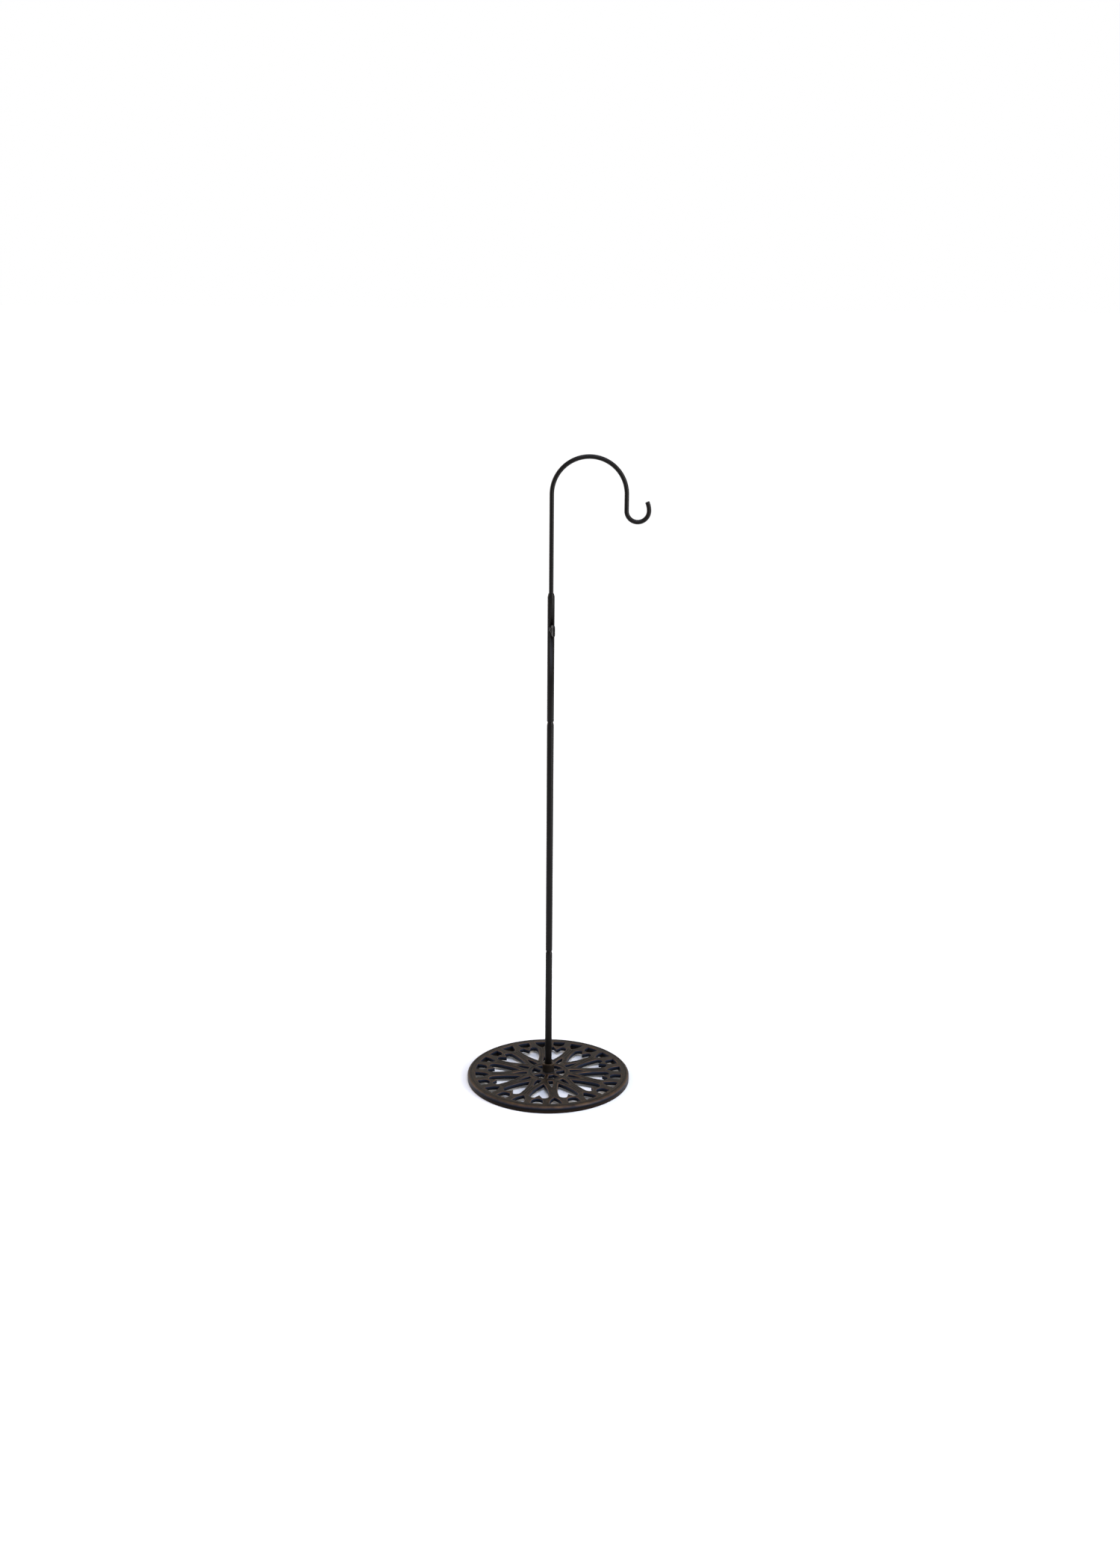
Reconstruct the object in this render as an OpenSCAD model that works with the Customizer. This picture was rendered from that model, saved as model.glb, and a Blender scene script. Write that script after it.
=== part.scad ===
// Free-standing hanging plant stand.
// A pierced cast-iron disc carries a three-piece steel pole. A bent hook rod slides and swivels
// in the top tube, where a thumb screw clamps it.
// Frame: millimetres, +Z up, origin on the floor under the pole, +X towards the hook's reach.

/* [Base casting] */
// Outer diameter of the base
base_d = 305; // [280:5:340]
// Height of the rim above the floor
rim_h = 13.5; // [12:0.5:16]
// Thickness of the pierced web
web_t = 8; // [6:0.5:9]
// Width of the solid rim
rim_w = 14.5; // [13:0.5:16]
// Number of petals in the rosette
petals = 12; // [12:12]
// Turn of the first petal from +X, in degrees
rosette_turn = 21; // [0:1:29]
// Outer radius of the boss that holds the pole
boss_r = 10.9; // [10.4:0.1:12]
// Height of the boss above the web
boss_h = 18; // [15:1:22]

/* [Pole] */
// Outer diameter of the tubes
tube_d = 12.7; // [12.5:0.1:14]
// Wall of the tubes
tube_wall = 1.5; // [1.2:0.1:1.5]
// Length of the lower tube
lower_len = 235.5; // [200:0.5:300]
// Length of the middle tube
middle_len = 430; // [350:1:500]
// Length of the upper tube
upper_len = 222; // [215:1:240]
// Height of the tapered collar at each joint
collar_h = 8; // [6:0.5:10]
// How much a joint collar tapers, on its radius
collar_taper = 1.4; // [0.5:0.1:1.8]
// Height of the cone that closes the top tube
top_collar_h = 10; // [8:0.5:12]

/* [Hook rod] */
// Diameter of the hook rod
rod_d = 8; // [7:0.1:8]
// Straight rod that shows between the top collar and the arch
rod_show = 174; // [160:1:200]
// Length of rod hidden in the upper tube
rod_hidden = 162; // [155:1:164]
// Radius of the arch, to the rod's centre line
arch_r = 65; // [55:1:80]
// Straight drop from the arch to the small hook
drop_len = 28; // [15:1:45]
// Radius of the small hook, to the rod's centre line
hook_r = 19.5; // [16:0.5:24]
// Radius of the small hook's tip, which leans in more gently
tip_r = 37; // [25:1:60]
// How far the tip leans in, in degrees
tip_turn = 25; // [10:1:40]

/* [Thumb screw] */
// Height of the screw below the top of the upper tube
screw_drop = 52; // [45:1:60]
// Direction of the screw about the pole, in degrees from +X
screw_turn = -80; // [-180:5:180]
// Height of the flat head
head_h = 20; // [16:1:22]
// Reach of the flat head from its neck
head_l = 16; // [12:1:18]
// Thickness of the flat head
head_t = 4; // [3:0.5:5]

/* [Hidden] */

$fn = 96;
eps = 1;

iron = "#4a4440";
black = "#2b2826";
zinc = "#a9abad";
nylon = "#26262a";

base_r = base_d / 2;
web_z = rim_h - web_t;
rim_in = base_r - rim_w;
rim_round = 4.5;
rim_foot_round = 1.5;
groove_r = 0.8;
groove_w = 1.3;
groove_depth = 0.9;
rim_groove_at = base_r - 6.5;

// Petal openings: a heart whose point faces the pole. Each side is one large arc, and each lobe
// is a small arc that the side runs into smoothly.
petal_pitch = 360 / petals;
point_at = 0.36 * base_r;
lobe_at = 0.695 * base_r;
lobe_off = 0.062 * base_r;
lobe_r = 0.058 * base_r;
side_r = 0.9 * base_r;
notch_at = 0.675 * base_r;
notch_angle = 32;
border_w = 4.4;
border_end = 0.71 * base_r;
rib_line_from = 0.44 * base_r;
rib_line_to = 0.715 * base_r;

// Arched openings beside the rim, two to a petal, which the rim closes
arch_end = rim_in + 2 * eps;
arch_half_w = 0.071 * base_r;
arch_outer_half_w = 0.081 * base_r;
petal_arch_at = 0.84 * base_r;
rib_arch_half_w = 0.079 * base_r;
rib_arch_tip = 0.73 * base_r;

// Slim openings between the petals' stems, and the ring round the boss
slot_start = 0.265 * base_r;
slot_mid = 0.305 * base_r;
slot_half_w = 0.030 * base_r;
slot_side_r = 0.33 * base_r;
ring_in = 0.204 * base_r;
ring_groove_at = 0.234 * base_r;
hub_r = 15;
spokes = petals / 2;
spoke_w = 7;

boss_top = rim_h + boss_h;
boss_fillet = 2;
boss_chamfer = 1;
recess_r = 10;
recess_h = 10;
bolt_hole_r = 4.3;
socket_z = 15;
fit = 0.05;

tube_r = tube_d / 2;
bore_r = tube_r - tube_wall;
tube_ease = 0.4;
thread_r = 4;
plug_len = 18;
stud_len = 20;
insert_len = 23;
joint_land = 1.5;
top_land = 4;
top_lip = 1;

lower_top = socket_z + lower_len;
middle_z = lower_top + collar_h;
middle_top = middle_z + middle_len;
upper_z = middle_top + collar_h;
upper_top = upper_z + upper_len;
collar_top = upper_top + top_collar_h;
guide_gap = 0.08;

washer_r = 8;
washer_t = 1.6;
washer_hole_r = 4.2;
spring_washer_r = 6.5;
spring_washer_t = 2.1;
spring_washer_gap = 0.6;
bolt_head_h = 5.3;
bolt_head_af = 13;
bolt_reach = 30;
washer_z = recess_h - washer_t;
spring_z = washer_z - spring_washer_t;
bolt_head_z = spring_z - bolt_head_h;

rod_r = rod_d / 2;
rod_foot = upper_top - rod_hidden + top_collar_h;
glide_len = 19.6;
glide_r = bore_r - guide_gap;
neck_r = 3;
peen_r = 3.9;
peen_h = 2;
end_play = 0.2;
rod_body_z = rod_foot + peen_h + glide_len + 2 * end_play;
arch_z = collar_top + rod_show;
hook_x = 2 * arch_r + hook_r;
hook_z = arch_z - drop_len;

screw_z = upper_top - screw_drop;
screw_r = 3;
nut_af = 10;
nut_out = tube_r + 5;
neck_out = nut_out + 1;
shoulder_r = 4.5;
shoulder_h = 2.5;
head_in = neck_out + 3;
head_round = 4;

function across_flats_r(af) = af / (2 * cos(30));

// The side arc's centre (x, -y) lies side_r from the petal's point and touches the lobe inside.
side_k = side_r * side_r - (side_r - lobe_r) * (side_r - lobe_r);
side_a = (side_k + lobe_at * lobe_at - point_at * point_at + lobe_off * lobe_off)
    / (2 * (lobe_at - point_at));
side_b = lobe_off / (lobe_at - point_at);
side_c = side_a - point_at;
side_y = (sqrt(side_b * side_b * side_c * side_c
    - (1 + side_b * side_b) * (side_c * side_c - side_r * side_r)) - side_b * side_c)
    / (1 + side_b * side_b);
side_x = side_a + side_b * side_y;

// The petal's outline, grown outwards by a distance
module petal_outline(grow) {
    tangent_x = side_x + (side_r + grow) * (lobe_at - side_x) / (side_r - lobe_r);
    notch_tip = notch_at + grow / sin(notch_angle);
    notch_end = base_r;
    difference() {
        union() {
            intersection() {
                translate([side_x, -side_y]) circle(r = side_r + grow);
                translate([side_x, side_y]) circle(r = side_r + grow);
                translate([0, -base_r]) square([tangent_x, base_d]);
            }
            for (side = [-1, 1])
                translate([lobe_at, side * lobe_off]) circle(r = lobe_r + grow);
        }
        polygon([
            [notch_tip, 0],
            [notch_end, (notch_end - notch_tip) * tan(notch_angle)],
            [notch_end, -(notch_end - notch_tip) * tan(notch_angle)]
        ]);
    }
}

// Round-headed opening in the notch of a petal
module petal_arch() {
    intersection() {
        circle(r = arch_end);
        union() {
            polygon([
                [petal_arch_at, -arch_half_w], [base_r, -arch_outer_half_w],
                [base_r, arch_outer_half_w], [petal_arch_at, arch_half_w]
            ]);
            translate([petal_arch_at, 0]) circle(r = arch_half_w);
        }
    }
}

// Pointed opening between two petals: two arcs that are widest at the rim
module rib_arch() {
    depth = arch_end - rib_arch_tip;
    sum = depth * depth / rib_arch_half_w;
    point_r = (sum + rib_arch_half_w) / 2;
    point_off = (sum - rib_arch_half_w) / 2;
    intersection() {
        circle(r = arch_end);
        translate([arch_end, point_off]) circle(r = point_r);
        translate([arch_end, -point_off]) circle(r = point_r);
    }
}

// Slim leaf-shaped opening between two petal stems
module stem_slot() {
    difference() {
        intersection() {
            translate([slot_mid, slot_side_r - slot_half_w]) circle(r = slot_side_r);
            translate([slot_mid, slot_half_w - slot_side_r]) circle(r = slot_side_r);
        }
        circle(r = slot_start);
    }
}

// Openings between the hub and the ring round it, left by the spokes
module hub_openings() {
    difference() {
        circle(r = ring_in);
        circle(r = hub_r);
        for (i = [0 : spokes - 1])
            rotate(rosette_turn + petal_pitch + i * 2 * petal_pitch)
                translate([0, -spoke_w / 2]) square([base_r, spoke_w]);
    }
}

module web_outline() {
    difference() {
        circle(r = rim_in + eps);
        for (i = [0 : petals - 1])
            rotate(rosette_turn + i * petal_pitch) {
                petal_outline(0);
                petal_arch();
                rotate(petal_pitch / 2) {
                    rib_arch();
                    stem_slot();
                }
            }
        hub_openings();
    }
}

// Fine lines round each petal, stopping short of the arched openings
module border_lines() {
    intersection() {
        circle(r = border_end);
        for (i = [0 : petals - 1])
            rotate(rosette_turn + i * petal_pitch)
                difference() {
                    petal_outline(border_w + groove_w / 2);
                    petal_outline(border_w - groove_w / 2);
                }
    }
}

// One straight line down the middle of each rib
module rib_lines() {
    for (i = [0 : petals - 1])
        rotate(rosette_turn + (i + 0.5) * petal_pitch)
            translate([rib_line_from, -groove_w / 2])
                square([rib_line_to - rib_line_from, groove_w]);
}

module rim_profile() {
    difference() {
        union() {
            translate([rim_in, 0]) square([rim_w - rim_round, rim_h]);
            translate([rim_in, rim_foot_round])
                square([rim_w, rim_h - rim_round - rim_foot_round]);
            translate([base_r - rim_round, rim_h - rim_round]) circle(r = rim_round);
            translate([base_r - rim_foot_round, rim_foot_round]) circle(r = rim_foot_round);
            translate([rim_in, 0]) square([rim_w - rim_foot_round, rim_h / 2]);
        }
        translate([rim_groove_at, rim_h]) circle(r = groove_r);
    }
}

module boss_profile() {
    translate([0, web_z]) square([hub_r, web_t]);
    polygon([
        [0, web_z], [boss_r, web_z], [boss_r, boss_top - boss_chamfer],
        [boss_r - boss_chamfer, boss_top], [0, boss_top]
    ]);
    difference() {
        translate([boss_r - eps, rim_h - eps]) square(boss_fillet + eps);
        translate([boss_r + boss_fillet, rim_h + boss_fillet]) circle(r = boss_fillet);
    }
}

module base_casting() {
    color(iron)
    difference() {
        union() {
            translate([0, 0, web_z]) linear_extrude(web_t) web_outline();
            rotate_extrude() rim_profile();
            rotate_extrude() boss_profile();
        }
        translate([0, 0, rim_h - groove_depth]) linear_extrude(groove_depth + eps) {
            border_lines();
            rib_lines();
        }
        rotate_extrude() translate([ring_groove_at, rim_h]) circle(r = groove_r);
        translate([0, 0, -eps]) cylinder(r = recess_r, h = recess_h + eps);
        cylinder(r = bolt_hole_r, h = boss_top);
        translate([0, 0, socket_z]) cylinder(r = tube_r + fit, h = boss_top);
    }
}

module base_bolt() {
    color(zinc) {
        translate([0, 0, bolt_head_z])
            cylinder(r = across_flats_r(bolt_head_af), h = bolt_head_h, $fn = 6);
        translate([0, 0, bolt_head_z + bolt_head_h]) cylinder(r = thread_r, h = bolt_reach);
    }
}

// Split ring, cut square on the +X side
module spring_washer() {
    color(zinc)
    translate([0, 0, spring_z])
    difference() {
        cylinder(r = spring_washer_r, h = spring_washer_t);
        translate([0, 0, -eps]) cylinder(r = thread_r + fit, h = spring_washer_t + 2 * eps);
        translate([0, -spring_washer_gap / 2, -eps])
            cube([washer_r, spring_washer_gap, spring_washer_t + 2 * eps]);
    }
}

module flat_washer() {
    color(zinc)
    translate([0, 0, washer_z])
    difference() {
        cylinder(r = washer_r, h = washer_t);
        translate([0, 0, -eps]) cylinder(r = washer_hole_r, h = washer_t + 2 * eps);
    }
}

// Plain tube with its ends eased
module tube_body(from, to) {
    color(black)
    rotate_extrude()
        polygon([
            [bore_r, from], [tube_r - tube_ease, from], [tube_r, from + tube_ease],
            [tube_r, to - tube_ease], [tube_r - tube_ease, to], [bore_r, to]
        ]);
}

// Tapered head that closes the top of a tube, with a plug that fits its bore. The head is
// straight up to its land and then narrows to the lip.
module collar_body(tube_end, cone_h, land, lip_r, hole_r) {
    color(black)
    rotate_extrude()
        polygon([
            [hole_r, tube_end - plug_len], [bore_r, tube_end - plug_len], [bore_r, tube_end],
            [tube_r, tube_end], [tube_r, tube_end + land],
            [lip_r, tube_end + cone_h], [hole_r, tube_end + cone_h]
        ]);
}

// Collar between two tubes, tapped for the stud of the tube above
module joint_collar(tube_end) {
    collar_body(tube_end, collar_h, joint_land, tube_r - collar_taper, thread_r + fit);
}

// Plug in the foot of a tube, with the stud that screws into the tube below
module stud_body(tube_foot) {
    color(zinc) {
        translate([0, 0, tube_foot]) cylinder(r = bore_r, h = plug_len);
        translate([0, 0, tube_foot - stud_len]) cylinder(r = thread_r, h = stud_len);
    }
}

module foot_insert() {
    color(zinc)
    translate([0, 0, socket_z])
    difference() {
        cylinder(r = bore_r, h = insert_len);
        translate([0, 0, -eps]) cylinder(r = thread_r + fit, h = insert_len + 2 * eps);
    }
}

module lower_tube() { tube_body(socket_z, lower_top); }

module lower_joint_insert() { joint_collar(lower_top); }

module lower_joint_stud() { stud_body(middle_z); }

module middle_tube() { tube_body(middle_z, middle_top); }

module upper_joint_insert() { joint_collar(middle_top); }

module upper_joint_stud() { stud_body(upper_z); }

// Turned to the screw's direction, with local +X pointing out of the pole
module toward_screw() {
    translate([0, 0, screw_z]) rotate([0, 0, screw_turn]) children();
}

module upper_tube() {
    color(black)
    difference() {
        tube_body(upper_z, upper_top);
        toward_screw() rotate([0, 90, 0]) cylinder(r = screw_r + fit, h = tube_d);
    }
}

// Hexagonal nut, saddled over the tube and welded to it
module clamp_nut() {
    color(black)
    difference() {
        toward_screw() rotate([0, 90, 0])
            cylinder(r = across_flats_r(nut_af), h = nut_out, $fn = 6);
        toward_screw() rotate([0, 90, 0])
            cylinder(r = screw_r + fit, h = nut_out + eps);
        translate([0, 0, screw_z - nut_af]) cylinder(r = tube_r, h = 2 * nut_af);
    }
}

// Cone that closes the top tube and guides the rod
module top_collar() {
    collar_body(upper_top, top_collar_h, top_land, rod_r + top_lip, rod_r + guide_gap);
}

// Plastic sleeve on the rod's foot, which keeps the rod central in the tube
module rod_glide() {
    color(nylon)
    translate([0, 0, rod_foot + peen_h + end_play])
    difference() {
        cylinder(r = glide_r, h = glide_len);
        translate([0, 0, -eps]) cylinder(r = neck_r + guide_gap, h = glide_len + 2 * eps);
    }
}

// A stretch of round rod bent about a centre in the XZ plane
module rod_bend(centre_x, centre_z, bend_r, from_angle, turn) {
    translate([centre_x, 0, centre_z])
    rotate([90, 0, 0])
    rotate([0, 0, from_angle])
    rotate_extrude(angle = turn)
    translate([bend_r, 0])
    circle(r = rod_r);
}

module hook_rod() {
    $fn = 64;
    color(black) {
        translate([0, 0, rod_foot]) cylinder(r = peen_r, h = peen_h);
        translate([0, 0, rod_foot]) cylinder(r = neck_r, h = rod_body_z - rod_foot);
        translate([0, 0, rod_body_z]) cylinder(r = rod_r, h = arch_z - rod_body_z);
        rod_bend(arch_r, arch_z, arch_r, 0, 180);
        translate([2 * arch_r, 0, hook_z]) cylinder(r = rod_r, h = drop_len);
        rod_bend(hook_x, hook_z, hook_r, 180, 180);
        rod_bend(hook_x + hook_r - tip_r, hook_z, tip_r, 0, tip_turn);
    }
}

module rounded_plate(size, corner_r) {
    translate([0, corner_r]) square([size.x, size.y - 2 * corner_r]);
    translate([corner_r, 0]) square([size.x - 2 * corner_r, size.y]);
    for (x = [corner_r, size.x - corner_r], y = [corner_r, size.y - corner_r])
        translate([x, y]) circle(r = corner_r);
}

// Screw with a flat head for finger and thumb, tightened against the rod
module thumb_screw() {
    color(black)
    toward_screw() {
        rotate([0, 90, 0]) translate([0, 0, rod_r + fit])
            cylinder(r = screw_r, h = neck_out - rod_r);
        rotate([0, 90, 0]) translate([0, 0, neck_out])
            cylinder(r = shoulder_r, h = shoulder_h);
        rotate([90, 0, 0]) translate([0, 0, -head_t / 2]) linear_extrude(head_t) {
            translate([head_in, -head_h / 2]) rounded_plate([head_l, head_h], head_round);
            polygon([
                [neck_out + eps, -shoulder_r], [head_in + head_round, -head_h / 2],
                [head_in + head_round, head_h / 2], [neck_out + eps, shoulder_r]
            ]);
        }
    }
}

base_casting();
base_bolt();
spring_washer();
flat_washer();
foot_insert();
lower_tube();
lower_joint_insert();
lower_joint_stud();
middle_tube();
upper_joint_insert();
upper_joint_stud();
upper_tube();
clamp_nut();
top_collar();
rod_glide();
hook_rod();
thumb_screw();
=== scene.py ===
# %% [markdown]
# # A hanging plant stand, dressed for its photograph
#
# The stand is a cast-iron disc, three steel tubes and a bent hook rod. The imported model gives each
# piece its place and size. This lesson models the pieces again as smooth surfaces, with the small
# roundings that real ones have, and gives each its finish.

from math import acos, asin, atan2, cos, pi, radians, sin, sqrt, tan

import bmesh
import bpy
import numpy as np
from mathutils import Matrix, Vector
from mathutils.geometry import delaunay_2d_cdt
from numpy.linalg import norm


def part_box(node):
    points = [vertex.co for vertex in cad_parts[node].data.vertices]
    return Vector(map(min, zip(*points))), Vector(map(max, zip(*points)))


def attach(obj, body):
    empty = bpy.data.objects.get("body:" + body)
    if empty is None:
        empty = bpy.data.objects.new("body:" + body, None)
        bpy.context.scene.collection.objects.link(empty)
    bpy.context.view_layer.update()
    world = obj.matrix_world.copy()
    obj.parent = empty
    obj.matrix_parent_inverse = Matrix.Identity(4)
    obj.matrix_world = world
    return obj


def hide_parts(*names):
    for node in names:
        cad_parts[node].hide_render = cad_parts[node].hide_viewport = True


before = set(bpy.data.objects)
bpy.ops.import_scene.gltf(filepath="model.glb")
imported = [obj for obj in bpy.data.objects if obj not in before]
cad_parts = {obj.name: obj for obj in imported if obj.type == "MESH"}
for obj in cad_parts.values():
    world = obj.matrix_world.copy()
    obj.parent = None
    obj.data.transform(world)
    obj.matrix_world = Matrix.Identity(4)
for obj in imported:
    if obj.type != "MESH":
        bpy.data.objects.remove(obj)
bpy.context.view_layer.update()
scene = bpy.context.scene

# %% [markdown]
# ## Sizes
#
# Lengths below are in millimetres, and one factor turns them to metres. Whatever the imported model
# already knows is measured from it and not typed again.

# %% Sizes taken from the frame
MM = 0.001


def extent(node, axis):
    """Lowest and highest value of a node along the axis x, y or z, in millimetres."""
    low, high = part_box(node)
    i = "xyz".index(axis)
    return low[i] / MM, high[i] / MM


base_r = extent("base_casting", "x")[1]
boss_top = extent("base_casting", "z")[1]
tube_r = extent("middle_tube", "x")[1]
tube_bore_r = extent("lower_joint_stud", "x")[1]
rod_r = extent("hook_rod", "y")[1]
print(f"base radius {base_r:.2f}, tube radius {tube_r:.2f}, rod radius {rod_r:.2f}")

# %% [markdown]
# ## Camera
#
# The photograph looks down on the stand by about 16 degrees, from a metre and a half above the
# floor. The base's ellipse gives the angle of view, and the way equal lengths of pole shrink towards
# the floor gives the distance. A small turn and roll put the pole's foot and top in their places.

# %% Camera
photo_w, photo_h = 1500, 2100
focal_px = 2520
sensor_mm = 36
camera_pitch = radians(16.18)
camera_yaw = radians(0.317)
camera_roll = radians(0.445)
camera_distance, camera_height = 3.269, 1.5285  # metres


def new_object(name, data):
    """An object made from its data and put in the scene."""
    made = bpy.data.objects.new(name, data)
    scene.collection.objects.link(made)
    return made


camera_data = bpy.data.cameras.new("camera")
camera_data.sensor_width = sensor_mm
camera_data.lens = focal_px / max(photo_w, photo_h) * sensor_mm
camera = new_object("camera", camera_data)
camera.location = (0, -camera_distance, camera_height)
camera.rotation_euler = (
    Matrix.Rotation(-camera_yaw, 3, "Z")
    @ Matrix.Rotation(pi / 2 - camera_pitch, 3, "X")
    @ Matrix.Rotation(camera_roll, 3, "Z")
).to_euler()
scene.camera = camera
print("lens", round(camera_data.lens, 1), "mm")

# %% [markdown]
# ## Colours and nodes
#
# Colours are written as a screen shows them, and one function turns them to the linear values in
# which light adds up. Another adds one node of a shader, with its settings and its links.

# %% Helpers for colours and nodes


def srgb(hex_colour):
    """A hex colour as the eye sees it, turned to the linear values that the shader needs."""
    values = [int(hex_colour[i : i + 2], 16) / 255 for i in (1, 3, 5)]
    linear = [v / 12.92 if v <= 0.04045 else ((v + 0.055) / 1.055) ** 2.4 for v in values]
    return (*linear, 1.0)


def set_inputs(tree, node, inputs):
    """Give each input of a node its value, or link it to another node's socket."""
    for name, value in inputs.items():
        if isinstance(value, bpy.types.NodeSocket):
            tree.links.new(value, node.inputs[name])
        else:
            node.inputs[name].default_value = value


def add_node(tree, kind, inputs=None, stops=(), **settings):
    """Add a node, set its properties and inputs, and return its outputs. kind is its type without
    "ShaderNode", and stops are the (position, hex colour) pairs of a colour ramp."""
    node = tree.nodes.new("ShaderNode" + kind)
    for name, value in settings.items():
        setattr(node, name, value)
    set_inputs(tree, node, inputs or {})
    if stops:
        elements = node.color_ramp.elements
        while len(elements) < len(stops):
            elements.new(1.0)
        for element, (position, colour) in zip(elements, stops):
            element.position = position
            element.color = srgb(colour)
    return node.outputs


print("half grey gives", round(srgb("#808080")[0], 3), "of white's light")

# %% [markdown]
# ## Floor and light
#
# The photograph is cut out on plain white. So the world is white to the camera, in reflections and
# through glass, but the light that it gives is dim, and the object stays as dark as it is.

# %% World
scene.view_settings.view_transform = "Standard"


def shows_background(tree):
    """1 for a ray from the camera, off a glossy surface or through glass, else 0."""
    path = add_node(tree, "LightPath")
    value = path["Is Camera Ray"]
    for kind in ("Is Glossy Ray", "Is Transmission Ray"):
        value = add_node(tree, "Math", {0: value, 1: path[kind]}, operation="MAXIMUM")[0]
    return value


light_strength = 0.3
world = bpy.data.worlds.new("studio")
world.use_nodes = True
scene.world = world
tree = world.node_tree
tree.nodes.clear()
light, white = [
    add_node(tree, "Background", {"Color": srgb(colour), "Strength": strength})[0]
    for colour, strength in [("#f3f3f5", light_strength), ("#ffffff", 1.0)]
]
both = add_node(tree, "MixShader", {0: shows_background(tree), 1: light, 2: white})[0]
add_node(tree, "OutputWorld", {"Surface": both})
print("world", world.name)

# %% [markdown]
# The floor is pale and takes the object's shadow. Where it shows it also glows, a little under the
# base and more from half a metre out, so that it reads white beyond the shadow.

# %% Floor
floor_half = 40
near, far = (0.13, 0.05), (0.55, 0.8)  # metres out, and glow there
mesh = bpy.data.meshes.new("floor")
corners = [(x * floor_half, y * floor_half, 0) for x, y in [(-1, -1), (1, -1), (1, 1), (-1, 1)]]
mesh.from_pydata(corners, [], [(0, 1, 2, 3)])
floor = new_object("floor", mesh)
material = bpy.data.materials.new("pale floor")
material.use_nodes = True
tree = material.node_tree
tree.nodes.clear()
diffuse = add_node(tree, "BsdfDiffuse", {"Color": srgb("#f2f2f2")})[0]
place = add_node(tree, "TexCoord")["Object"]
away = add_node(tree, "VectorMath", {0: place}, operation="LENGTH")["Value"]
reach = {"From Min": near[0], "From Max": far[0], "To Min": near[1], "To Max": far[1]}
glow = add_node(tree, "MapRange", {"Value": away, **reach})["Result"]
inputs = {0: shows_background(tree), 1: glow}
shown_glow = add_node(tree, "Math", inputs, operation="MULTIPLY")[0]
white = add_node(tree, "Emission", {"Strength": shown_glow})[0]
both = add_node(tree, "AddShader", {0: diffuse, 1: white})[0]
add_node(tree, "OutputMaterial", {"Surface": both})
mesh.materials.append(material)
print(material.name, 2 * floor_half, "m wide")

# %% [markdown]
# The stand is nearly black, so the eye reads what it reflects. A tall soft box at the right draws a
# bright line down the pole, and a faintly warm window at the left draws a second one. A broad cool
# box above and in front lights the rosette's faces and the top of the arch.

# %% Lamps
pole_middle = Vector((0, 0, 0.6))


def soft_box(name, place, size, watts, colour):
    """A rectangular lamp at a place in metres, turned to face the middle of the pole."""
    data = bpy.data.lights.new(name, "AREA")
    data.shape = "RECTANGLE"
    data.size, data.size_y = size
    data.energy = watts
    data.color = srgb(colour)[:3]
    lamp = new_object(name, data)
    lamp.location = place
    lamp.rotation_euler = (Vector(place) - pole_middle).to_track_quat("Z", "Y").to_euler()


soft_box("side soft box", (2.2, -1.3, 1.2), (1.2, 2.4), 80, "#ffffff")
soft_box("window", (-2.6, 1.0, 1.6), (1.2, 2.2), 55, "#fff1e4")
soft_box("overhead soft box", (0.3, -1.1, 2.8), (2.0, 2.0), 60, "#d9e3ff")

# %% [markdown]
# ## Finishes
#
# Most finishes here are a colour that varies a little from place to place. The pattern is noise,
# which needs no image and no unwrapping, and it is fixed to the object and sized in millimetres.

# %% A mottled finish


def new_material(name):
    """A new material with its node tree and its one shader."""
    material = bpy.data.materials.new(name)
    material.use_nodes = True
    tree = material.node_tree
    return material, tree, tree.nodes["Principled BSDF"]


def object_noise(tree, size_mm, detail, roughness=0.5):
    """Noise whose grains are about size_mm across, fixed to the object."""
    place = add_node(tree, "TexCoord")["Object"]
    inputs = {"Vector": place, "Scale": 1 / (size_mm * MM), "Detail": detail, "Roughness": roughness}
    return add_node(tree, "TexNoise", inputs)["Fac"]


def bumps(tree, layers):
    """A normal from (height of 0 to 1, depth in mm) layers, each laid over the one before."""
    before = {}
    for height, depth_mm in layers:
        inputs = {"Height": height, "Distance": depth_mm * MM, **before}
        normal = add_node(tree, "Bump", inputs)["Normal"]
        before = {"Normal": normal}
    return normal


def mottled(name, grain, colours, inputs, rough=None, layers=()):
    """A finish whose colour follows a noise between two hex colours, and its roughness too, if a
    pair of values is given. grain is (size in mm, detail), and each layer of bumps has (size in mm,
    detail, depth in mm). inputs are the shader's constant values."""
    material, tree, shader = new_material(name)
    cloud = object_noise(tree, *grain)
    stops = list(zip((0.3, 0.7), colours))
    inputs["Base Color"] = add_node(tree, "ValToRGB", {"Fac": cloud}, stops)["Color"]
    if rough:
        spread = {"Value": cloud, "To Min": rough[0], "To Max": rough[1]}
        inputs["Roughness"] = add_node(tree, "MapRange", spread)["Result"]
    if layers:
        heights = [(object_noise(tree, size, detail), depth) for size, detail, depth in layers]
        inputs["Normal"] = bumps(tree, heights)
    set_inputs(tree, shader, inputs)
    return material


print("a grain of 2 mm has the scale", 1 / (2 * MM))

# %% [markdown]
# The pole's powder coat is a thin plastic skin on steel: it isn't metallic, and it has a satin gloss
# and an orange-peel ripple 2 mm across. Its fine texture scatters part of the gloss, so less than a
# bare plastic's share is reflected.

# %% Powder-coated steel
finishes = {
    "pole_black": mottled(
        "powder-coated steel, satin black", (25, 2), ("#080605", "#0e0b09"),
        {"IOR": 1.5, "Specular IOR Level": 0.1},
        rough=(0.26, 0.36), layers=[(2.2, 1, 0.05), (0.7, 1, 0.012)],
    )
}
print("finishes", list(finishes))

# %% [markdown]
# The bolt, the washers and the threaded plugs are zinc plated against rust, and the sleeve that
# the rod runs on is moulded nylon.

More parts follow.
